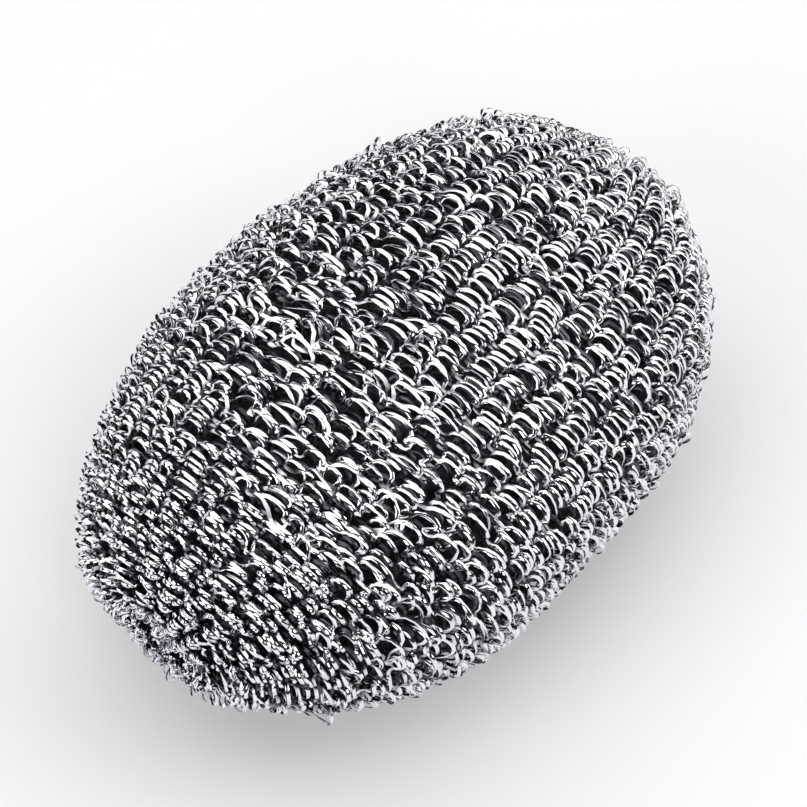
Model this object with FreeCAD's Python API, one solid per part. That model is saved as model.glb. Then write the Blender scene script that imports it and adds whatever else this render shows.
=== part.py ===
"""Pot scrubber: a plump oval pad of knitted flat steel wire.

A scrubber of this kind is one knitted tube that is turned into itself again and again,
so the pad is a nest of knitted sleeves around a bunched-up length of the same knit.
The sleeves that show have a rounded rib along each column of loops. At both ends the ribs
are drawn together into a navel, where the gathered neck of the tube shows.

Frame: X runs along the pad, Y across it, Z up. The origin is the middle of the flat
on which the pad rests. All sizes are in millimetres.
"""

import FreeCAD
import Part
import math
import os

# Outside of the pad, over its ribs
PAD_LENGTH = 104.0
PAD_WIDTH = 72.0
PAD_HEIGHT = 42.0
REST_FLAT_DEPTH = 0.5
END_LIFT = 2.0

# Fullness of the outlines, where 2 is an ellipse and more is fuller
PLAN_FULLNESS = 2.2
SIDE_FULLNESS = 2.4
SECTION_FULLNESS = 2.3

# Ribs along the columns of loops
RIB_COUNT = 40
RIB_DEPTH = 1.4

# Knitted layers, with the wall that is left under the grooves
SLEEVE_WALL = 1.6
LAYER_GAP = 0.3

# Blunt end of the pad, and the navel in it
END_BLUNTING = 1.2
NAVEL_WIDTH = 7.4
NAVEL_HEIGHT = 6.4
NAVEL_DEPTH = 3.4
NAVEL_FLARE = 1.3
NAVEL_LIP = 0.5

# Gathered neck of the tube in each navel
NECK_WIDTH = 5.6
NECK_HEIGHT = 4.6
NECK_FIT = 0.3
NECK_FLUTES = 12
FLUTE_DEPTH = 0.35
CROWN_WIDTH = 3.2
CROWN_HEIGHT = 2.4
FRONT_STAND = 1.6
REAR_STAND = 2.6

# Places along the half length where sections are drawn
RIB_STATIONS = (0.0, 0.3, 0.56, 0.77, 0.91, 0.97)
LAYER_STATIONS = (0.0, 0.35, 0.65, 0.85, 0.96)
SMOOTH_ARCS = 12
ARC_STEPS = 720

HALF_LENGTH = PAD_LENGTH / 2
OUTLINE_LENGTH = HALF_LENGTH + END_BLUNTING
HALF_WIDTH = PAD_WIDTH / 2
HALF_HEIGHT = (PAD_HEIGHT + REST_FLAT_DEPTH) / 2
MIDDLE = PAD_HEIGHT - HALF_HEIGHT
NAVEL_FLOOR = HALF_LENGTH - NAVEL_DEPTH
SLEEVE_THICKNESS = RIB_DEPTH + SLEEVE_WALL
LAYER_STEP = SLEEVE_THICKNESS + LAYER_GAP


def signed_power(value, power):
    """Power of a number's size, with its sign kept."""
    return math.copysign(abs(value) ** power, value)


def fullness(share, power):
    """Share of the full half size that is left at a share of the half length."""
    return (1 - share ** power) ** (1 / power)


def axis_height(x):
    """Height of the pad's axis, which rises a little towards both ends."""
    return MIDDLE + END_LIFT * (x / HALF_LENGTH) ** 2


def section_point(angle, half_width, half_height):
    """Point of the rounded section at an angle, and the outward direction there."""
    across = signed_power(math.cos(angle), 2 / SECTION_FULLNESS) * half_width
    up = signed_power(math.sin(angle), 2 / SECTION_FULLNESS) * half_height
    steepness = 2 - 2 / SECTION_FULLNESS
    outward = FreeCAD.Vector(
        0,
        signed_power(math.cos(angle), steepness) / half_width,
        signed_power(math.sin(angle), steepness) / half_height,
    )
    return FreeCAD.Vector(0, across, up), outward.normalize()


def even_angles(count):
    """Angles, from the bottom round, that part the pad's middle section into even lengths."""
    start = -math.pi / 2
    lengths = [0.0]
    last, _ = section_point(start, HALF_WIDTH, HALF_HEIGHT)
    for step in range(1, ARC_STEPS + 1):
        point, _ = section_point(start + 2 * math.pi * step / ARC_STEPS, HALF_WIDTH, HALF_HEIGHT)
        lengths.append(lengths[-1] + point.distanceToPoint(last))
        last = point
    angles = []
    step = 0
    for index in range(count):
        target = lengths[-1] * index / count
        while lengths[step + 1] < target:
            step += 1
        part = (target - lengths[step]) / (lengths[step + 1] - lengths[step])
        angles.append(start + 2 * math.pi * (step + part) / ARC_STEPS)
    return angles


RIB_ANGLES = even_angles(2 * RIB_COUNT)
FLUTE_ANGLES = even_angles(2 * NECK_FLUTES)
SMOOTH_ANGLES = even_angles(2 * SMOOTH_ARCS)


def ring(x, height, half_width, half_height, angles, depth):
    """Closed section across X, of one arc per rib: crests on the curve, grooves below it."""
    centre = FreeCAD.Vector(x, 0, height)
    points = []
    for index, angle in enumerate(angles):
        point, outward = section_point(angle, half_width, half_height)
        sink = depth * (index % 2)
        points.append(centre + point - outward * sink)
    count = len(points)
    arcs = []
    for crest in range(0, count, 2):
        before = points[crest - 1]
        after = points[(crest + 1) % count]
        arcs.append(Part.Arc(before, points[crest], after).toShape())
    return Part.Wire(arcs)


def both_ways(shares):
    """Shares of the half length from the rear end over the middle to the front end."""
    return [-share for share in reversed(shares[1:])] + list(shares)


def ribbed_ring(x, height, half_width, half_height):
    """Section of a ribbed sleeve, whose ribs get finer where they draw together."""
    depth = RIB_DEPTH * (half_width + half_height) / (HALF_WIDTH + HALF_HEIGHT)
    return ring(x, height, half_width, half_height, RIB_ANGLES, depth)


def navel_rings(end):
    """Sections of the navel in one end, from its floor up to its lip."""
    height = axis_height(HALF_LENGTH)
    lip = HALF_LENGTH - NAVEL_LIP
    return [
        ribbed_ring(end * NAVEL_FLOOR, height, NAVEL_WIDTH / 2, NAVEL_HEIGHT / 2),
        ribbed_ring(end * lip, height, NAVEL_WIDTH / 2 + NAVEL_FLARE, NAVEL_HEIGHT / 2 + NAVEL_FLARE),
    ]


def pad_solid():
    """Outside of the pad: ribs from navel to navel over the rounded ends."""
    sides = []
    for station in both_ways(RIB_STATIONS + (1.0,)):
        x = HALF_LENGTH * station
        share = x / OUTLINE_LENGTH
        sides.append(ribbed_ring(x, axis_height(x), HALF_WIDTH * fullness(abs(share), PLAN_FULLNESS),
                                 HALF_HEIGHT * fullness(abs(share), SIDE_FULLNESS)))
    return Part.makeLoft(navel_rings(-1) + sides + navel_rings(1)[::-1], True)


def smooth_ring(x, height, half_width, half_height):
    """Section of a surface with no ribs."""
    return ring(x, height, half_width, half_height, SMOOTH_ANGLES, 0)


def layer_solid(depth, section):
    """Rounded solid that lies a depth below the crests of the pad, through sections of one kind."""
    half_width = HALF_WIDTH - depth
    half_height = HALF_HEIGHT - depth
    half_length = NAVEL_FLOOR + RIB_DEPTH - depth
    rings = []
    for share in both_ways(LAYER_STATIONS):
        x = half_length * share / LAYER_STATIONS[-1]
        rings.append(section(x, axis_height(x), half_width * fullness(abs(share), PLAN_FULLNESS),
                             half_height * fullness(abs(share), SIDE_FULLNESS)))
    return Part.makeLoft(rings, True)


def neck_hole():
    """Passage along the pad for the necks of the tube, with room around them."""
    half_width = NECK_WIDTH / 2 + NECK_FIT
    half_height = NECK_HEIGHT / 2 + NECK_FIT
    ends = []
    for x in (-HALF_LENGTH, HALF_LENGTH):
        ends.append(smooth_ring(x, axis_height(HALF_LENGTH), half_width, half_height))
    return Part.makeLoft(ends, True)


def gather(end, stand):
    """Fluted neck of the tube, from inside the middle sleeve out into the navel."""
    height = axis_height(HALF_LENGTH)
    root = NAVEL_FLOOR - SLEEVE_WALL - LAYER_STEP
    shoulder = NAVEL_FLOOR + stand / 2
    crown = NAVEL_FLOOR + stand
    sections = (
        (root, NECK_WIDTH, NECK_HEIGHT),
        (NAVEL_FLOOR, NECK_WIDTH, NECK_HEIGHT),
        (shoulder, NECK_WIDTH, NECK_HEIGHT),
        (crown, CROWN_WIDTH, CROWN_HEIGHT),
    )
    rings = []
    for x, width, tall in sections:
        depth = FLUTE_DEPTH * (width + tall) / (NECK_WIDTH + NECK_HEIGHT)
        rings.append(ring(end * x, height, width / 2, tall / 2, FLUTE_ANGLES, depth))
    return Part.makeLoft(rings, True)


def nested_sleeves():
    """Sleeves from the outside in, and the wad that fills the last of them."""
    rest = Part.makeBox(PAD_LENGTH, PAD_WIDTH, PAD_HEIGHT,
                        FreeCAD.Vector(-HALF_LENGTH, -HALF_WIDTH, -PAD_HEIGHT))
    hole = neck_hole()
    inside = [layer_solid(layer * LAYER_STEP + SLEEVE_THICKNESS, smooth_ring) for layer in range(3)]
    outer = pad_solid().cut(inside[0]).cut(hole).cut(rest)
    middle = layer_solid(LAYER_STEP, ribbed_ring).cut(inside[1]).cut(hole)
    inner = layer_solid(2 * LAYER_STEP, smooth_ring).cut(inside[2])
    wad = layer_solid(3 * LAYER_STEP, smooth_ring)
    return {"outer_sleeve": outer, "middle_sleeve": middle, "inner_sleeve": inner, "core_wad": wad}


def main():
    pieces = nested_sleeves()
    pieces["front_gather"] = gather(-1, FRONT_STAND)
    pieces["rear_gather"] = gather(1, REAR_STAND)
    os.makedirs("parts", exist_ok=True)
    for name, shape in pieces.items():
        print(name, "solids", len(shape.Solids), "valid", shape.isValid(),
              "volume mm3", round(shape.Volume), "faces", len(shape.Faces))
        shape.exportStep("parts/%s.step" % name)


main()
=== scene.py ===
# %% [markdown]
# A pot scrubber of knitted flat steel wire.
#
# The real scrubber is one long flat wire. A machine knits it into a tube, and the tube is turned
# into itself until it is a plump oval pad. This lesson starts in the same way: a straight flat wire
# is modelled first, then it is bent into loops that are wound round the pad, turn after turn, and
# each loop reaches over the legs of the next turn.

# %% Load the frame
import bpy
import math
import numpy as np
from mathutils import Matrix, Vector


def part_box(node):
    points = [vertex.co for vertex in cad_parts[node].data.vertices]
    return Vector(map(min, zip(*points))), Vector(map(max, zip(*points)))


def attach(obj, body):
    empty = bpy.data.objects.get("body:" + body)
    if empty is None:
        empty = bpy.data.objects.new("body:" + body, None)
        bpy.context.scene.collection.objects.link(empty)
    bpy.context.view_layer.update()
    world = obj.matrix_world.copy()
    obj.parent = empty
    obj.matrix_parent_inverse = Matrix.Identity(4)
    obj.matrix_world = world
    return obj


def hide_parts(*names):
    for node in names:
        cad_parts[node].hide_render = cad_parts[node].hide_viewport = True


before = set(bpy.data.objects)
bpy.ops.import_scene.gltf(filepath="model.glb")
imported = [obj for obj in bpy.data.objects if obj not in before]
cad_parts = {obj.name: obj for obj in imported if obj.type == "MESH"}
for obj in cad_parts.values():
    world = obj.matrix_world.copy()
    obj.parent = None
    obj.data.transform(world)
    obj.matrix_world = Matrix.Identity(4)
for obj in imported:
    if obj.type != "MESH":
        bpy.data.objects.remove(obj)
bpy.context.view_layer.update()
MM = 0.001


def size_in_mm(node):
    """Lowest and highest corner of a node, in mm."""
    low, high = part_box(node)
    return np.array(low) / MM, np.array(high) / MM


pad_low, pad_high = size_in_mm("outer_sleeve")
pad_length, pad_width, pad_height = pad_high - pad_low
print("pad, mm:", np.round([pad_length, pad_width, pad_height], 1))

# %% [markdown]
# The form of the pad.
#
# The knit needs a surface to lie on. A modelled mesh could be it, but then each loop would have to
# look for the nearest face. A formula is quicker and exact: the outline and the section are rounded
# ovals, a little fuller than ellipses, and each end is drawn into a navel. A place on the pad is
# given by its turn, the share of the way round, and its way, the share of the way from end to end.

# %% The outline from navel to navel
# A fullness of 2 is an ellipse, and more is fuller. Sizes are in mm.
PLAN_FULLNESS = 2.2
SIDE_FULLNESS = 2.4
END_BLUNTING = 1.2
NAVEL_HALF_WIDTH = 3.7
NAVEL_HALF_HEIGHT = 3.2
NAVEL_DEPTH = 3.4
NAVEL_FLARE = 1.3
NAVEL_LIP = 0.5
OUTLINE_POINTS = 200
PROFILE_STEP = 0.2
PROFILE_ROUNDING = 15

half_length = pad_length / 2
half_width = pad_width / 2
half_height = pad_height / 2


def fullness(share, power):
    """Share of the full half size that is left at a share of the half length."""
    return np.clip(1 - np.abs(share) ** power, 0, 1) ** (1 / power)


def half_profile():
    """Rows of x, half width and half height from the floor of a navel to the middle of the pad."""
    floor = [half_length - NAVEL_DEPTH, NAVEL_HALF_WIDTH, NAVEL_HALF_HEIGHT]
    lip = [half_length - NAVEL_LIP, NAVEL_HALF_WIDTH + NAVEL_FLARE, NAVEL_HALF_HEIGHT + NAVEL_FLARE]
    x = half_length * np.sin(np.linspace(math.pi / 2, 0, OUTLINE_POINTS))
    share = x / (half_length + END_BLUNTING)
    outline = np.stack([x, half_width * fullness(share, PLAN_FULLNESS),
                        half_height * fullness(share, SIDE_FULLNESS)], axis=1)
    return np.vstack([floor, lip, outline])


def even_steps(rows, step):
    """The same line with points a step apart, and its corners rounded."""
    lengths = np.concatenate([[0], np.cumsum(np.linalg.norm(np.diff(rows, axis=0), axis=1))])
    places = np.linspace(0, lengths[-1], int(lengths[-1] / step))
    even = np.stack([np.interp(places, lengths, column) for column in rows.T], axis=1)
    window = np.hanning(PROFILE_ROUNDING + 2)[1:-1]
    window /= window.sum()
    edge = PROFILE_ROUNDING // 2
    padded = np.pad(even, ((edge, edge), (0, 0)), mode="reflect", reflect_type="odd")
    return np.stack([np.convolve(column, window, mode="valid") for column in padded.T], axis=1)


near_half = half_profile() * [-1, 1, 1]
far_half = half_profile()[::-1][1:]
profile = even_steps(np.vstack([near_half, far_half]), PROFILE_STEP)
profile_way = np.linspace(0, 1, len(profile))
print("outline from navel to navel, mm:", round(len(profile) * PROFILE_STEP, 1))

# %% The section, and a place on the pad
SECTION_FULLNESS = 2.3
SECTION_POINTS = 1441
END_LIFT = 2.0
NUDGE = 0.004
SHORTEST = 1e-9


def signed_power(value, power):
    """Power of a number's size, with its sign kept."""
    return np.sign(value) * np.abs(value) ** power


section_angle = np.linspace(-math.pi / 2, 1.5 * math.pi, SECTION_POINTS)
section_across = signed_power(np.cos(section_angle), 2 / SECTION_FULLNESS)
section_up = signed_power(np.sin(section_angle), 2 / SECTION_FULLNESS)
section_steps = np.hypot(np.diff(section_across) * half_width, np.diff(section_up) * half_height)
section_length = np.concatenate([[0], np.cumsum(section_steps)])
section_turn = section_length / section_length[-1]


def pad_place(turn, way):
    """Points on the pad, in mm. The turn starts at the bottom."""
    around = np.mod(turn, 1)
    x = np.interp(way, profile_way, profile[:, 0])
    across = np.interp(way, profile_way, profile[:, 1]) * np.interp(around, section_turn, section_across)
    up = np.interp(way, profile_way, profile[:, 2]) * np.interp(around, section_turn, section_up)
    axis = half_height + END_LIFT * (x / half_length) ** 2
    return np.stack([x, across, axis + up], axis=-1)


def pad_girth(way):
    """Girth of the pad as a share of its largest girth."""
    return np.interp(way, profile_way, (profile[:, 1] + profile[:, 2]) / (half_width + half_height))


def unit(vectors):
    """The same directions, one long."""
    return vectors / np.maximum(np.linalg.norm(vectors, axis=-1, keepdims=True), SHORTEST)


def outward(place, turn, way):
    """Directions straight out of a surface."""
    round_it = place(turn + NUDGE, way) - place(turn - NUDGE, way)
    along_it = place(turn, np.clip(way + NUDGE, 0, 1)) - place(turn, np.clip(way - NUDGE, 0, 1))
    return unit(np.cross(round_it, along_it))


print("round the middle, mm:", round(section_length[-1], 1))
print("outward at the top:", np.round(outward(pad_place, np.array([0.5]), np.array([0.5])), 2))

# %% [markdown]
# The straight wire.
#
# The wire is flat, a little over half a millimetre wide, and thicker in its middle than at its edges.
# It could be a curve with a bevel, but a curve turns its flat side as it likes, and here each loop has
# to show its flat. So a grid is folded lengthwise into a wire that is one stitch long, with four sides
# and a few rings. Two Array modifiers then lengthen it: the first to one turn round the pad, the second
# to as many turns as the band has. The grid's own UV map goes with it, so the unrolled wire lies in neat
# strips for its finish.

# %% A flat wire as long as a band needs
WIRE_MAP = "OFBake"
WIRE_SIDES = 4
STITCH = 1
STRIP_SHARE = 0.9


def straight_wire(name, rings, wales, courses):
    """A grid one stitch long, lengthened by arrays: X counts stitches, Y goes round the four sides."""
    bpy.ops.object.select_all(action="DESELECT")
    bpy.ops.mesh.primitive_grid_add(x_subdivisions=rings, y_subdivisions=WIRE_SIDES, size=STITCH,
                                    calc_uvs=True, location=(0, 0, 0))
    wire = bpy.context.object
    wire.name = name
    bpy.ops.object.mode_set(mode="EDIT")
    bpy.ops.mesh.select_all(action="SELECT")
    bpy.ops.transform.translate(value=(STITCH / 2, STITCH / 2, 0))
    bpy.ops.object.mode_set(mode="OBJECT")
    wire_map = wire.data.uv_layers[0]
    wire_map.name = WIRE_MAP
    corners = np.empty(len(wire.data.loops) * 2, dtype=np.float32)
    wire_map.uv.foreach_get("vector", corners)
    strip = corners.reshape(-1, 2) * [1 / wales, STRIP_SHARE / courses]
    wire_map.uv.foreach_set("vector", strip.astype(np.float32).ravel())
    one_turn = (wales, STITCH, 1 / wales, 0)
    all_turns = (courses, wales * STITCH, 0, 1 / courses)
    for count, shift, shift_u, shift_v in (one_turn, all_turns):
        array = wire.modifiers.new("lengthen", "ARRAY")
        array.count = count
        array.use_relative_offset = False
        array.use_constant_offset = True
        array.constant_offset_displace = (shift, 0, 0)
        array.offset_u = shift_u
        array.offset_v = shift_v
        bpy.ops.object.modifier_apply(modifier=array.name)
    return wire


def points_of(piece):
    """The vertices of a piece, as rows."""
    flat = np.empty(len(piece.data.vertices) * 3, dtype=np.float32)
    piece.data.vertices.foreach_get("co", flat)
    return flat.reshape(-1, 3).astype(np.float64)


def put_points(piece, rows):
    """Moves the vertices of a piece."""
    piece.data.vertices.foreach_set("co", np.ascontiguousarray(rows, dtype=np.float32).ravel())
    piece.data.update()


print("sides of the wire:", WIRE_SIDES)

# %% [markdown]
# Chance.
#
# Real loops are never alike. Chance that jumps from point to point would only make the wire rough, so
# it comes in two kinds: values dealt to single heads and sinkers, which the wire blends between them,
# and slow waves that make whole ribs sway and the whole pad swell. All of it comes from seeded
# generators, so the pad is the same each time.

# %% Chance along the wire
SWELL_WAVES = 6
SLOWEST_SWELL = 0.4
SWELL_FINEST = 3


def shared(stitch, part, heads, sinkers):
    """A value for each place on the wire, from the values of its heads and sinkers."""
    head_share = (1 - np.cos(2 * math.pi * part)) / 2
    sinker = stitch + (part >= 0.5)
    return head_share * heads[stitch] + (1 - head_share) * sinkers[sinker]


def rib_waves(column, row, wales, periods, seed):
    """Slow waves along the ribs, each rib with its own, blended from rib to rib."""
    phases = np.random.default_rng(seed).uniform(0, 2 * math.pi, (len(periods), wales))
    left = np.floor(column - 0.5).astype(int)
    between = column - 0.5 - left
    total = np.zeros(np.shape(column))
    for period, phase in zip(periods, phases):
        swing = 2 * math.pi * row / period
        total += (1 - between) * np.sin(swing + phase[left % wales])
        total += between * np.sin(swing + phase[(left + 1) % wales])
    return total / math.sqrt(len(periods))


def swell_waves(turn, way, seed):
    """A slow random swell over the whole pad, mostly between -1 and 1."""
    dice = np.random.default_rng(seed)
    total = np.zeros(np.shape(turn))
    for _ in range(SWELL_WAVES):
        round_pad = dice.integers(1, SWELL_FINEST + 1)
        along_pad = dice.uniform(SLOWEST_SWELL, SWELL_FINEST)
        phase = dice.uniform(0, 2 * math.pi)
        total += np.sin(2 * math.pi * (round_pad * turn + along_pad * way) + phase)
    return total / math.sqrt(SWELL_WAVES)


five_turns = np.linspace(0, 0.8, 5)
print("swell at five turns round the middle:", np.round(swell_waves(five_turns, np.full(5, 0.5), 1), 2))

# %% [markdown]
# Gathers at the ends.
#
# Towards an end the pad gets narrow, but the number of ribs stays the same. Real knit makes room by
# folding: every second rib slips under its neighbours, which keep their width. The ribs could be made
# narrower all alike, but that looks like a printed pattern. Here one wave spreads every second rib and
# narrows the ones between, and another wave sinks the narrow ones. Where even that gives too little
# room, the wire itself gets slimmer, as if it lay more on its edge.

# %% Folded ribs
# Folding starts at this share of the girth, and is full after this much less of it. Depth is in mm.
GATHER_FROM = 0.85
GATHER_OVER = 0.5
GATHER_SPREAD = 0.75
GATHER_DEPTH = 0.9
SLIMMEST = 0.45


def gathered(column, girth, gathers):
    """Columns and depths of the folded ribs, and the slimness of their wire, at a share of the girth."""
    crowding = gathers * np.clip((GATHER_FROM - girth) / GATHER_OVER, 0, 1)
    swing = math.pi * column
    spread = column + crowding * GATHER_SPREAD * (1 - np.cos(swing)) / math.pi
    sunk = crowding * GATHER_DEPTH * (1 - np.sin(swing)) / 2
    slim = np.clip(np.sqrt(girth * (1 + GATHER_SPREAD * crowding)), SLIMMEST, 1)
    return spread, sunk, slim


two_ribs, _, _ = gathered(np.arange(3.0), pad_girth(np.zeros(3)), 1.0)
print("a spread rib and a folded rib at a navel, in ribs:", np.round(np.diff(two_ribs), 2))

# %% [markdown]
# The line of the loops.
#
# Each stitch is a loop: the wire runs along a sinker in the groove, up a leg, over a head on the rib
# and down a leg again. Heads stand proud and legs lie deep, which is how this side of a knit hooks
# together, so each head crosses over the legs of the next turn. Sine waves of the place in the stitch
# give this line. Each head and sinker gets its own small shift and lift by chance, a few loops are
# pulled out as snags, and the ends of the pad are wilder than its middle. The loops aren't tested for
# contact, so strands run through each other in places, most where they crowd at the ends.

# %% The middle line of the wire
# A loop leans and spreads in ribs, reaches over turns of the wire, and its legs lie deeper in mm
LOOP_LEAN = 0.1
LOOP_SPREAD = 0.13
LOOP_REACH = 0.55
LOOP_DEPTH = 0.22
# Rings of the wire crowd where it bends most, and a rib is squarer than a wave
RING_CROWDING = 0.6
RIB_SQUARENESS = 0.55
# Wildness multiplies how far a loop strays: its swing, its growth at the ends, its least and its most
WILD_SWING = 0.45
WILD_END_POWER = 5
TAMEST = 0.4
WILDEST = 2.0
# Slow waves along a rib are so many turns long, and snags stand up in mm
SWAY_PERIODS = (11, 23)
BULGE_PERIODS = (19, 37)
LEAST_SNAG = 0.4
LARGEST_SNAG = 1.2
# Room at each end for the loops that reach past the first and the last turn, in turns
END_TURNS = 1
# Chance is dealt to a few more stitches than there are, for the end of the wire
SPARE_STITCHES = 2
# Added to a layer's seed, so that each kind of chance has a generator of its own
WILD_SEED = 1
SWAY_SEED = 2
BULGE_SEED = 3
SWELL_SEED = 4


def wildness(column, row, layer):
    """How far loops stray: it swells over the pad, and grows towards its ends."""
    wales, courses = layer["wales"], layer["courses"]
    from_middle = np.abs(2 * (row + END_TURNS) / (courses + 2 * END_TURNS) - 1)
    swell = swell_waves(column / wales, row / courses, layer["seed"] + WILD_SEED)
    wild = 1 + WILD_SWING * swell + layer["end_wildness"] * from_middle ** WILD_END_POWER
    return np.clip(wild, TAMEST, WILDEST)


def knit_line(run, layer):
    """Places of the wire's middle line in mm, outward directions, heights in the cloth, and slimness."""
    wales, courses, seed = layer["wales"], layer["courses"], layer["seed"]
    stitch = np.floor(run).astype(int)
    part = run - stitch
    part = part - RING_CROWDING * np.sin(4 * math.pi * part) / (4 * math.pi)
    column = np.mod(stitch, wales) + part
    row = (stitch + part) / wales
    wild = wildness(column, row, layer)
    dice = np.random.default_rng(seed)
    stitches = wales * courses + SPARE_STITCHES

    def dealt(spread):
        """Random values of the heads and of the sinkers, shared out along the wire."""
        heads, sinkers = dice.normal(0, spread, (2, stitches))
        return wild * shared(stitch, part, heads, sinkers)

    column = column + LOOP_LEAN * np.sin(4 * math.pi * part) - LOOP_SPREAD * np.sin(2 * math.pi * part)
    column = column + dealt(layer["shift"])
    row = row - LOOP_REACH * np.cos(2 * math.pi * part) + dealt(layer["slip"])
    rib_side = signed_power(np.cos(2 * math.pi * part), RIB_SQUARENESS)
    height = LOOP_DEPTH * np.cos(4 * math.pi * part) - layer["relief"] * rib_side
    height = height + dealt(layer["bounce"])
    column = column + layer["sway"] * rib_waves(column, row, wales, SWAY_PERIODS, seed + SWAY_SEED)
    way = np.clip((row + END_TURNS) / (courses + 2 * END_TURNS), 0, 1)
    spread, sunk, slim = gathered(column, layer["girth"](way), layer["gathers"])
    height = height - sunk
    turn = (spread - 0.5) / wales + layer["skew"] * row / courses
    snagged = dice.random(stitches) < layer["snags"]
    snags = np.where(snagged, dice.uniform(LEAST_SNAG, LARGEST_SNAG, stitches), 0)
    lift = height + shared(stitch, part, snags, np.zeros(stitches)) - layer["inset"]
    lift = lift + layer["bulge"] * rib_waves(column, row, wales, BULGE_PERIODS, seed + BULGE_SEED)
    lift = lift + layer["swell"] * swell_waves(turn, way, seed + SWELL_SEED)
    out = outward(layer["place"], turn, way)
    return layer["place"](turn, way) + out * lift[..., None], out, height, slim


print("a loop reaches over", 2 * LOOP_REACH, "turns of the wire")

# %% [markdown]
# The wire takes its shape.
#
# The straight wire is bent along that line. Its flat side faces outwards, turned a little about its
# own length by chance, because it is those small turns that make steel knit glitter. Two of its four
# corners are its sharp edges, and the other two are the crowns in the middle of its flats. Where the
# pad stands on the table its loops are pressed flat, the lowest the most. Then the doubled edges of the
# fold and of the copies are merged, and the two cut ends are capped.

# %% Bend a wire along the loops
WIRE_WIDTH = 0.58
WIRE_THICKNESS = 0.17
EDGE_CORNERS = np.array([-1, 0, 1, 0])
CROWN_CORNERS = np.array([0, -1, 0, 1])
PRESSED_BELOW = 1.0
TWIST_SEED = 5


def ribbon(run, side, layer, nudge):
    """Corners of the flat wire in mm, and the heights of its middle line."""
    centre, out, height, slim = knit_line(run, layer)
    along = unit(knit_line(run + nudge, layer)[0] - knit_line(run - nudge, layer)[0])
    across = unit(np.cross(along, out))
    upward = np.cross(across, along)
    stitch = np.floor(run).astype(int)
    dice = np.random.default_rng(layer["seed"] + TWIST_SEED)
    stitches = layer["wales"] * layer["courses"] + SPARE_STITCHES
    heads, sinkers = dice.normal(layer["tilt"], layer["twist"], (2, stitches))
    twist = shared(stitch, run - stitch, heads, sinkers)[:, None]
    wide = np.cos(twist) * across + np.sin(twist) * upward
    thick = np.cos(twist) * upward - np.sin(twist) * across
    wide_by = EDGE_CORNERS[side] * slim * WIRE_WIDTH / 2
    thick_by = CROWN_CORNERS[side] * WIRE_THICKNESS / 2
    return centre + wide * wide_by[:, None] + thick * thick_by[:, None], height


def press_flat(places):
    """Presses what is near the table or under it into a thin layer on it."""
    low = places[:, 2] < PRESSED_BELOW
    places[low, 2] = PRESSED_BELOW * np.exp(places[low, 2] / PRESSED_BELOW - 1)


print("wire, mm:", WIRE_WIDTH, "wide and", WIRE_THICKNESS, "thick")

# %% Close the wire, and knit a band
MERGE_DISTANCE = 1e-7
SMOOTH_BELOW = math.radians(55)
# Place of the two caps in the UV map, in the margin above the first strip
CAP_START = 0.002
CAP_STEP = 0.01
CAP_WIDTH = 0.004
CAP_MARGIN = 0.04
CAP_HEIGHT = 0.04
NUDGE_IN_RINGS = 0.25
BAND_COURSES = 32


def close_wire(wire, courses):
    """Merges the doubled edges of a wire, caps its two ends and shades it."""
    bpy.ops.object.mode_set(mode="EDIT")
    bpy.ops.mesh.select_all(action="SELECT")
    bpy.ops.mesh.remove_doubles(threshold=MERGE_DISTANCE)
    bpy.ops.mesh.fill_holes(sides=WIRE_SIDES)
    bpy.ops.mesh.normals_make_consistent(inside=False)
    bpy.ops.object.mode_set(mode="OBJECT")
    bpy.ops.object.shade_smooth_by_angle(angle=SMOOTH_BELOW)
    wire_map = wire.data.uv_layers[WIRE_MAP]
    for index, cap in enumerate(wire.data.polygons[-2:]):
        for corner, loop in enumerate(cap.loop_indices):
            u = CAP_START + CAP_STEP * index + CAP_WIDTH * (corner in (1, 2))
            v = (STRIP_SHARE + CAP_MARGIN + CAP_HEIGHT * (corner in (2, 3))) / courses
            wire_map.uv[loop].vector = (u, v)


def knit_band(name, layer, first_course, courses, rings):
    """One band of a knitted layer, as a piece of its own."""
    wire = straight_wire(name, rings, layer["wales"], courses)
    straight = points_of(wire)
    run = np.rint(straight[:, 0] * rings) / rings + first_course * layer["wales"]
    side = np.rint(straight[:, 1] * WIRE_SIDES).astype(int) % WIRE_SIDES
    places, height = ribbon(run, side, layer, NUDGE_IN_RINGS / rings)
    press_flat(places)
    put_points(wire, places * MM)
    # The height of each point in the cloth, which the steel uses for painted shade on the low parts
    mark = wire.data.attributes.new("height", "FLOAT", "POINT")
    mark.data.foreach_set("value", height.astype(np.float32))
    close_wire(wire, courses)
    print(name, len(wire.data.polygons), "faces")
    return wire


def knit_layer(name, layer, rings):
    """A whole layer, as bands that follow each other from end to end."""
    bands = []
    for first_course in range(0, layer["courses"], BAND_COURSES):
        number = first_course // BAND_COURSES + 1
        bands.append(knit_band("%s_%d" % (name, number), layer, first_course, BAND_COURSES, rings))
    return bands


print("turns of wire in a band:", BAND_COURSES)

# %% [markdown]
# The outer knit.
#
# This is the layer that scours: forty ribs of loops, with deep grooves between them. It is one wire
# from end to end of the pad, cut into bands only so that no piece gets too heavy. Its values are kept
# in one dictionary, because the layers under it are the same knit with a few values changed.

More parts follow.
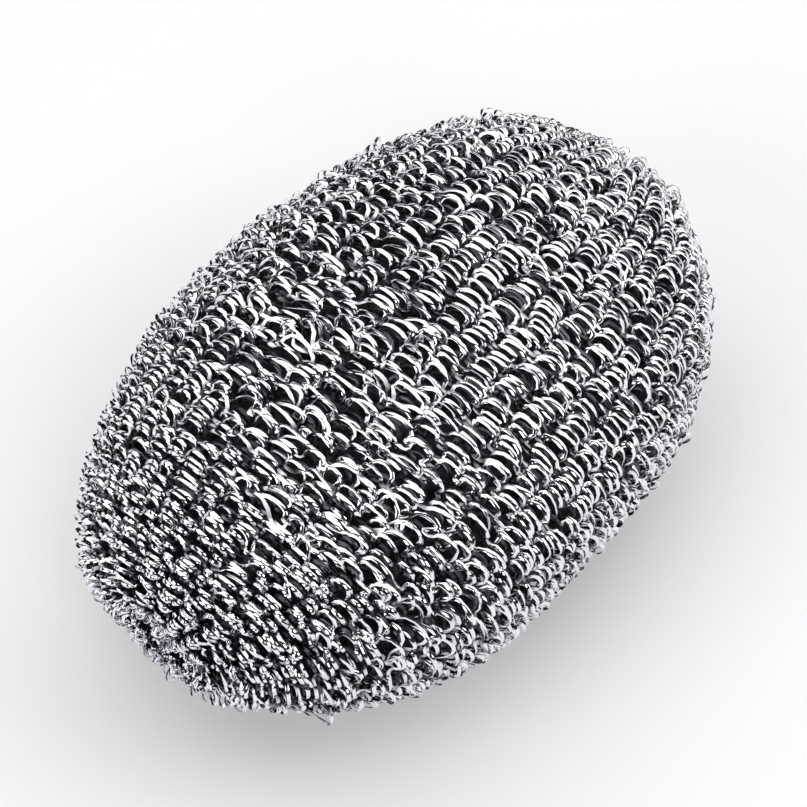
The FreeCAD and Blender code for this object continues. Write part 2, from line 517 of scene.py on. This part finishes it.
# %% The outer knit, in bands
OUTER_RINGS = 14
OUTER = {
    # The surface that carries the knit, and how far the knit lies below it, in mm
    "place": pad_place, "girth": pad_girth, "inset": 0.6,
    # Ribs round the pad, turns of the wire, how far a rib stands up in mm, and whether its ends fold
    "wales": 40, "courses": 128, "relief": 0.5, "gathers": 1.0,
    # Chance of single loops: along the turn in ribs, across it in turns, in height in mm, share of snags
    "seed": 11, "shift": 0.15, "slip": 0.4, "bounce": 0.22, "snags": 0.02, "end_wildness": 1.5,
    # Slow waves: ribs sideways in ribs, ribs in height in mm, the pad in mm, and the twist of the ribs
    "sway": 0.16, "bulge": 0.28, "swell": 0.35, "skew": 0.0,
    # Turn of the wire about its own length, in radians: its mean and its spread
    "tilt": 0.12, "twist": 0.3,
}
outer_bands = knit_layer("outer_knit", OUTER, OUTER_RINGS)

# %% [markdown]
# The knit under it.
#
# Through the open loops the next turn of the tube shows, with its ribs under the outer ones. It is the
# same knit a few millimetres deeper, with fewer turns and fewer rings to a stitch, because only glimpses
# of it are seen. Its steel is painted almost black, as painted shade under the outer knit.

# %% The under knit, in bands
UNDER_RINGS = 12
UNDER = dict(OUTER, seed=23, courses=96, inset=2.2, snags=0.0, end_wildness=0.0)
under_bands = knit_layer("under_knit", UNDER, UNDER_RINGS)

# %% [markdown]
# The inside of the pad.
#
# Deeper still lie the next turn of the tube and the bunched-up end of it. No light gets there, so two
# closed forms in almost black steel, a painted shade, stand for them. Each starts as a ball and is moved
# onto the form of the pad, inside the knit, with shallow ribs like the knit's own. At the two poles the
# ribs and the swell die out, and the form is drawn in to a point on the axis, so that it stays closed.

# %% The inner sleeve and the wad
INNER_RIBS = 40
INNER_RIB_HEIGHT = 0.5
INNER_RIB_FADE = 3
INNER_SWELL = 0.6
INNER_SEED = 41
WAY_MARGIN = 0.08
# A ball's turn starts at its side, and the pad's turn at its bottom
QUARTER_TURN = 0.25
POLE_SIZE = 1e-4
POLE_ROUNDING = 6


def inside_form(name, inset, segments, ring_count):
    """A closed ribbed form of the pad's shape, deeper inside."""
    bpy.ops.object.select_all(action="DESELECT")
    bpy.ops.mesh.primitive_uv_sphere_add(segments=segments, ring_count=ring_count, radius=1,
                                         calc_uvs=True, location=(0, 0, 0))
    form = bpy.context.object
    form.name = name
    ball = points_of(form)
    from_axis = np.hypot(ball[:, 0], ball[:, 1])
    turn = np.arctan2(ball[:, 1], ball[:, 0]) / (2 * math.pi) + QUARTER_TURN
    way = 0.5 + np.arcsin(np.clip(ball[:, 2], -1, 1)) / math.pi
    way = WAY_MARGIN + (1 - 2 * WAY_MARGIN) * way
    rib = INNER_RIB_HEIGHT * np.cos(2 * math.pi * INNER_RIBS * turn) * np.cos((way - 0.5) * INNER_RIB_FADE)
    swell = INNER_SWELL * swell_waves(turn, way, INNER_SEED)
    lift = np.where(from_axis < POLE_SIZE, 0, rib + swell) - inset
    places = pad_place(turn, way) + outward(pad_place, turn, way) * lift[:, None]
    shrink = np.clip(from_axis * POLE_ROUNDING, 0, 1)[:, None]
    axis = places * [1, 0, 0] + [0, 0, half_height + END_LIFT]
    put_points(form, (axis + (places - axis) * shrink) * MM)
    bpy.ops.object.mode_set(mode="EDIT")
    bpy.ops.mesh.select_all(action="SELECT")
    bpy.ops.mesh.normals_make_consistent(inside=False)
    bpy.ops.object.mode_set(mode="OBJECT")
    bpy.ops.object.shade_smooth()
    print(name, len(form.data.polygons), "faces")
    return form


inner_form = inside_form("inner_sleeve_form", inset=5.6, segments=160, ring_count=90)
wad_form = inside_form("core_wad_form", inset=9.2, segments=120, ring_count=60)

# %% [markdown]
# The gathered necks.
#
# At both ends the tube is drawn together into a little neck that shows in the navel as a tuft of
# crowded loops. It is knitted as the pad is, on a small dome instead of the big form, with few loops
# to a turn and wild ones. The dome comes out of the pad, swells a little in the navel and closes.

# %% A neck in each navel
# Along the dome: its way, how far out it is as a share of the solid's length, and how wide it is
NECK_WAYS = (0.0, 0.34, 0.52, 0.68, 0.86, 1.0)
NECK_STOPS = (0.0, 0.55, 0.8, 1.0, 1.09, 1.13)
NECK_SIZES = (0.9, 1.05, 1.25, 0.95, 0.3, 0.08)
NECK_SLIMNESS = 0.65


def neck_surface(node, end):
    """The dome of a neck, from inside the pad out into the navel at one end."""
    low, high = size_in_mm(node)
    size = high - low
    middle = (low + high) / 2
    root_x = middle[0] - end * size[0] / 2

    def place(turn, way):
        """Points on the dome, in mm."""
        angle = end * 2 * math.pi * turn
        share = np.interp(way, NECK_WAYS, NECK_SIZES)
        x = root_x + end * size[0] * np.interp(way, NECK_WAYS, NECK_STOPS)
        across = size[1] / 2 * share * np.cos(angle)
        up = size[2] / 2 * share * np.sin(angle)
        return np.stack([x, across, middle[2] + up], axis=-1)

    return place


def neck_girth(way):
    """Share of the pad's girth for which the wire of a neck is slimmed."""
    return np.full(np.shape(way), NECK_SLIMNESS)


NECK = dict(OUTER, girth=neck_girth, gathers=0.0, wales=10, courses=8, relief=0.4, inset=0.3,
            shift=0.18, slip=0.4, bounce=0.35, snags=0.15, sway=0.2, skew=0.2, bulge=0.2, swell=0.2,
            end_wildness=0.6, twist=0.6)


def knit_neck(name, node, end, seed):
    """The loops of a neck, in one band."""
    layer = dict(NECK, place=neck_surface(node, end), seed=seed)
    return knit_band(name, layer, 0, NECK["courses"], OUTER_RINGS)


front_neck = knit_neck("front_neck", "front_gather", end=-1, seed=31)
rear_neck = knit_neck("rear_neck", "rear_gather", end=1, seed=37)

# %% [markdown]
# The steel.
#
# Drawn steel wire is bright where light falls on it, and almost black in the depth of the knit, where
# it only mirrors other dark wire. A plain metal shader needs help there, so the shade is painted: each
# wire carries its height above the cloth as an attribute, and the low parts get a dark painted shade
# instead of the steel's own colour. A slow noise stains the wire, and fine lines along it, from drawing
# it through a die, make its gloss uneven. A few helpers come first, because all the finishes are made
# of the same kinds of node.


# %% Helpers for the nodes
def new_material(name):
    """A new material, its node tree and its shader."""
    material = bpy.data.materials.new(name)
    material.use_nodes = True
    return material, material.node_tree, material.node_tree.nodes["Principled BSDF"]


def noise(tree, vector, scale, detail):
    """A noise over a vector."""
    node = tree.nodes.new("ShaderNodeTexNoise")
    node.inputs["Scale"].default_value = scale
    node.inputs["Detail"].default_value = detail
    tree.links.new(vector, node.inputs["Vector"])
    return node.outputs["Fac"]


def maths(tree, operation, first, second, clamped=False):
    """Two values added or multiplied."""
    node = tree.nodes.new("ShaderNodeMath")
    node.operation = operation
    node.use_clamp = clamped
    tree.links.new(first, node.inputs[0])
    tree.links.new(second, node.inputs[1])
    return node.outputs["Value"]


def ranged(tree, value, low, high, to_low, to_high, curve="LINEAR"):
    """A value carried from one range to another."""
    node = tree.nodes.new("ShaderNodeMapRange")
    node.interpolation_type = curve
    node.inputs["From Min"].default_value = low
    node.inputs["From Max"].default_value = high
    node.inputs["To Min"].default_value = to_low
    node.inputs["To Max"].default_value = to_high
    tree.links.new(value, node.inputs["Value"])
    return node.outputs["Result"]


def colour_mix(tree, factor, first):
    """A mix from a first colour to a second one, which is still to be given."""
    node = tree.nodes.new("ShaderNodeMix")
    node.data_type = "RGBA"
    node.inputs["A"].default_value = (*first, 1)
    tree.links.new(factor, node.inputs["Factor"])
    return node


# %% Bright wire, with painted shade in the depth of the knit
STAIN_SCALE = 220
STAIN_DETAIL = 3
LINES_ALONG = 2
LINES_ACROSS = 30
LINES_DETAIL = 2
TONE_LOW = 0.7
TONE_HIGH = 1.3
# Painted shade: the colour the wire gets deep in the knit, where it lies in shade
PAINTED_SHADE_COLOUR = (0.018, 0.018, 0.02)


def steel(name, dull, bright, rough, depth, wales, courses):
    """Drawn wire, darkened by painted shade with its depth in the knit."""
    material, tree, shader = new_material(name)
    shader.inputs["Metallic"].default_value = 1.0
    place = tree.nodes.new("ShaderNodeTexCoord")
    stain = noise(tree, place.outputs["Object"], STAIN_SCALE, STAIN_DETAIL)
    wire_map = tree.nodes.new("ShaderNodeUVMap")
    wire_map.uv_map = WIRE_MAP
    stretch = tree.nodes.new("ShaderNodeMapping")
    stretch.inputs["Scale"].default_value = (wales * LINES_ALONG, courses * LINES_ACROSS, 1)
    tree.links.new(wire_map.outputs["UV"], stretch.inputs["Vector"])
    lines = noise(tree, stretch.outputs["Vector"], 1, LINES_DETAIL)
    both = maths(tree, "ADD", stain, lines)
    colour = colour_mix(tree, ranged(tree, both, TONE_LOW, TONE_HIGH, 0, 1), dull)
    colour.inputs["B"].default_value = (*bright, 1)
    height = tree.nodes.new("ShaderNodeAttribute")
    height.attribute_name = "height"
    # Painted shade: below these heights the wire turns to the dark colour instead of its own
    shallow = ranged(tree, height.outputs["Fac"], depth[0], depth[1], 0, 1, "SMOOTHSTEP")
    shade = colour_mix(tree, shallow, PAINTED_SHADE_COLOUR)
    tree.links.new(colour.outputs["Result"], shade.inputs["B"])
    tree.links.new(shade.outputs["Result"], shader.inputs["Base Color"])
    wear = ranged(tree, both, TONE_LOW, TONE_HIGH, rough[1], rough[0])
    tree.links.new(wear, shader.inputs["Roughness"])
    print(name, "with", len(tree.nodes), "nodes")
    return material


# The depth ranges are the heights in mm over which the painted shade gives way to the steel's own colour
outer_steel = steel("outer_steel", dull=(0.765, 0.755, 0.82), bright=(0.95, 0.94, 0.985),
                    rough=(0.05, 0.13), depth=(-0.5, 0.2), wales=OUTER["wales"], courses=BAND_COURSES)
# Painted shade: the under knit is the same steel as the outer knit, coloured almost black for the shade it
# lies in
painted_shade_under_steel = steel("painted_shade_under_steel", dull=(0.05, 0.049, 0.058), bright=(0.15, 0.148, 0.165),
                    rough=(0.2, 0.38), depth=(-0.2, 0.6), wales=UNDER["wales"], courses=BAND_COURSES)
neck_steel = steel("neck_steel", dull=(0.74, 0.73, 0.79), bright=(0.94, 0.93, 0.975),
                   rough=(0.06, 0.16), depth=(-0.8, 0.1), wales=NECK["wales"], courses=NECK["courses"])

# %% Painted shade: steel of the inside, coloured almost black
GRAIN_SCALE = 700
GRAIN_DETAIL = 4
GRAIN_DARK = 0.35
GRAIN_LIGHT = 0.7
# Painted shade: the inside is the same wire, coloured almost black because no light reaches it
DARKEST = (0.012, 0.012, 0.013, 1)
LIGHTEST = (0.06, 0.06, 0.064, 1)
ROUGH_DARK = 0.7
ROUGH_LIGHT = 0.45
BUMP_STRENGTH = 0.6
BUMP_HEIGHT = 0.0006


def inside_steel(name):
    """Steel that no light reaches, painted almost black as shade, with the crowded wire as a bump."""
    material, tree, shader = new_material(name)
    shader.inputs["Metallic"].default_value = 1.0
    place = tree.nodes.new("ShaderNodeTexCoord")
    grain = noise(tree, place.outputs["Object"], GRAIN_SCALE, GRAIN_DETAIL)
    tone = tree.nodes.new("ShaderNodeValToRGB")
    tone.color_ramp.elements[0].position = GRAIN_DARK
    tone.color_ramp.elements[0].color = DARKEST
    tone.color_ramp.elements[1].position = GRAIN_LIGHT
    tone.color_ramp.elements[1].color = LIGHTEST
    tree.links.new(grain, tone.inputs["Fac"])
    tree.links.new(tone.outputs["Color"], shader.inputs["Base Color"])
    tree.links.new(ranged(tree, grain, 0, 1, ROUGH_DARK, ROUGH_LIGHT), shader.inputs["Roughness"])
    bump = tree.nodes.new("ShaderNodeBump")
    bump.inputs["Strength"].default_value = BUMP_STRENGTH
    bump.inputs["Distance"].default_value = BUMP_HEIGHT
    tree.links.new(grain, bump.inputs["Height"])
    tree.links.new(bump.outputs["Normal"], shader.inputs["Normal"])
    print(name, "with", len(tree.nodes), "nodes")
    return material


painted_shade_inside_steel = inside_steel("painted_shade_inside_steel")

# %% [markdown]
# On the frame.
#
# Each piece rides on the one body that the part has, gets its steel, and takes the place of a solid,
# which is hidden. The two closed forms inside are stuffing.


# %% Put the pieces on the frame
def dress(piece, node, material):
    """Gives a piece its steel and puts it in place of a solid."""
    piece.data.materials.clear()
    piece.data.materials.append(material)
    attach(piece, "root")
    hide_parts(node)


for band in outer_bands:
    dress(band, "outer_sleeve", outer_steel)
for band in under_bands:
    dress(band, "middle_sleeve", painted_shade_under_steel)
dress(inner_form, "inner_sleeve", painted_shade_inside_steel)
dress(wad_form, "core_wad", painted_shade_inside_steel)
dress(front_neck, "front_gather", neck_steel)
dress(rear_neck, "rear_gather", neck_steel)

# %% [markdown]
# The table and the light.
#
# The scrubber lies on a white table that ends in a white horizon. The table shows white to the camera
# and to the mirroring wire, a little near the pad, where it keeps the soft shadow, and fully further
# away. Glitter needs contrast, so the room above is dark, and four soft lamps hang in it: a large one
# overhead, and smaller ones at the left, at the right and in front.

# %% White table
# Sizes and distances from the pad are in m
TABLE_SIZE = 40
TABLE_COLOUR = (0.93, 0.93, 0.93, 1)
TABLE_ROUGHNESS = 0.9
GLOW_FROM = 0.15
GLOW_FULL = 0.8
GLOW_NEAR = 0.1
GLOW_FAR = 1.0


def table_top(name):
    """White that shows as it is to the camera and in mirrors, the more so the further from the pad."""
    material, tree, paper = new_material(name)
    paper.inputs["Base Color"].default_value = TABLE_COLOUR
    paper.inputs["Roughness"].default_value = TABLE_ROUGHNESS
    glow = tree.nodes.new("ShaderNodeEmission")
    glow.inputs["Strength"].default_value = 1.0
    rays = tree.nodes.new("ShaderNodeLightPath")
    seen = maths(tree, "ADD", rays.outputs["Is Camera Ray"], rays.outputs["Is Glossy Ray"], clamped=True)
    seen = maths(tree, "ADD", seen, rays.outputs["Is Transmission Ray"], clamped=True)
    spot = tree.nodes.new("ShaderNodeTexCoord")
    distance = tree.nodes.new("ShaderNodeVectorMath")
    distance.operation = "LENGTH"
    tree.links.new(spot.outputs["Object"], distance.inputs[0])
    fade = ranged(tree, distance.outputs["Value"], GLOW_FROM, GLOW_FULL, GLOW_NEAR, GLOW_FAR, "SMOOTHSTEP")
    mix = tree.nodes.new("ShaderNodeMixShader")
    tree.links.new(maths(tree, "MULTIPLY", seen, fade), mix.inputs["Fac"])
    tree.links.new(paper.outputs["BSDF"], mix.inputs[1])
    tree.links.new(glow.outputs["Emission"], mix.inputs[2])
    tree.links.new(mix.outputs["Shader"], tree.nodes["Material Output"].inputs["Surface"])
    return material


bpy.ops.object.select_all(action="DESELECT")
bpy.ops.mesh.primitive_plane_add(size=TABLE_SIZE, location=(0, 0, 0))
table = bpy.context.object
table.name = "white_table"
table.data.materials.append(table_top("white_table_top"))
print("table, m:", TABLE_SIZE)

# %% Dark room with a white horizon
HORIZON_UP_TO = 0.05
DARK_FROM = 0.22
HORIZON_COLOUR = (1, 1, 1, 1)
ROOM_COLOUR = (0.03, 0.03, 0.03, 1)

world = bpy.context.scene.world or bpy.data.worlds.new("studio")
bpy.context.scene.world = world
world.use_nodes = True
room = world.node_tree
direction = room.nodes.new("ShaderNodeTexCoord")
upward = room.nodes.new("ShaderNodeSeparateXYZ")
room.links.new(direction.outputs["Generated"], upward.inputs["Vector"])
horizon = room.nodes.new("ShaderNodeValToRGB")
horizon.color_ramp.interpolation = "EASE"
horizon.color_ramp.elements[0].position = HORIZON_UP_TO
horizon.color_ramp.elements[0].color = HORIZON_COLOUR
horizon.color_ramp.elements[1].position = DARK_FROM
horizon.color_ramp.elements[1].color = ROOM_COLOUR
room.links.new(upward.outputs["Z"], horizon.inputs["Fac"])
room.links.new(horizon.outputs["Color"], room.nodes["Background"].inputs["Color"])
print("the room is dark above", round(math.degrees(math.asin(DARK_FROM))), "degrees")

# %% Soft lamps
pad_middle = Vector((0, 0, half_height * MM))


def softbox(name, place, length, width, power):
    """A soft lamp that looks at the pad."""
    bpy.ops.object.select_all(action="DESELECT")
    bpy.ops.object.light_add(type="AREA", location=place)
    lamp = bpy.context.object
    lamp.name = name
    lamp.data.shape = "RECTANGLE"
    lamp.data.size = length
    lamp.data.size_y = width
    lamp.data.energy = power
    aim = pad_middle - Vector(place)
    lamp.rotation_euler = aim.to_track_quat("-Z", "Y").to_euler()
    print(name, power, "W")


softbox("overhead_lamp", (0.2, 0.2, 0.7), length=1.5, width=1.1, power=7.7)
softbox("left_lamp", (-0.6, 0.15, 0.35), length=0.5, width=0.5, power=1.7)
softbox("right_lamp", (0.45, -0.5, 0.4), length=0.5, width=0.5, power=1.7)
softbox("front_lamp", (-0.3, -0.55, 0.6), length=0.4, width=0.4, power=1.3)

# %% [markdown]
# The camera.
#
# It looks down on the pad from in front of its near end, as in the photograph, so the pad lies aslant
# in the frame. A long lens from a little distance keeps its form true.

# %% Camera
VIEW_AZIMUTH = math.radians(-50)
VIEW_ELEVATION = math.radians(57)
VIEW_DISTANCE = 0.325
LENS = 100
SENSOR = 36

camera_data = bpy.data.cameras.new("camera")
camera_data.lens = LENS
camera_data.sensor_width = SENSOR
camera = bpy.data.objects.new("camera", camera_data)
bpy.context.scene.collection.objects.link(camera)
toward = Vector((math.sin(VIEW_AZIMUTH) * math.cos(VIEW_ELEVATION),
                 -math.cos(VIEW_AZIMUTH) * math.cos(VIEW_ELEVATION), math.sin(VIEW_ELEVATION)))
camera.location = pad_middle + toward * VIEW_DISTANCE
camera.rotation_euler = (-toward).to_track_quat("-Z", "Y").to_euler()
bpy.context.scene.camera = camera
bpy.context.scene.view_settings.view_transform = "Standard"
print("camera at, m:", np.round(camera.location, 3))
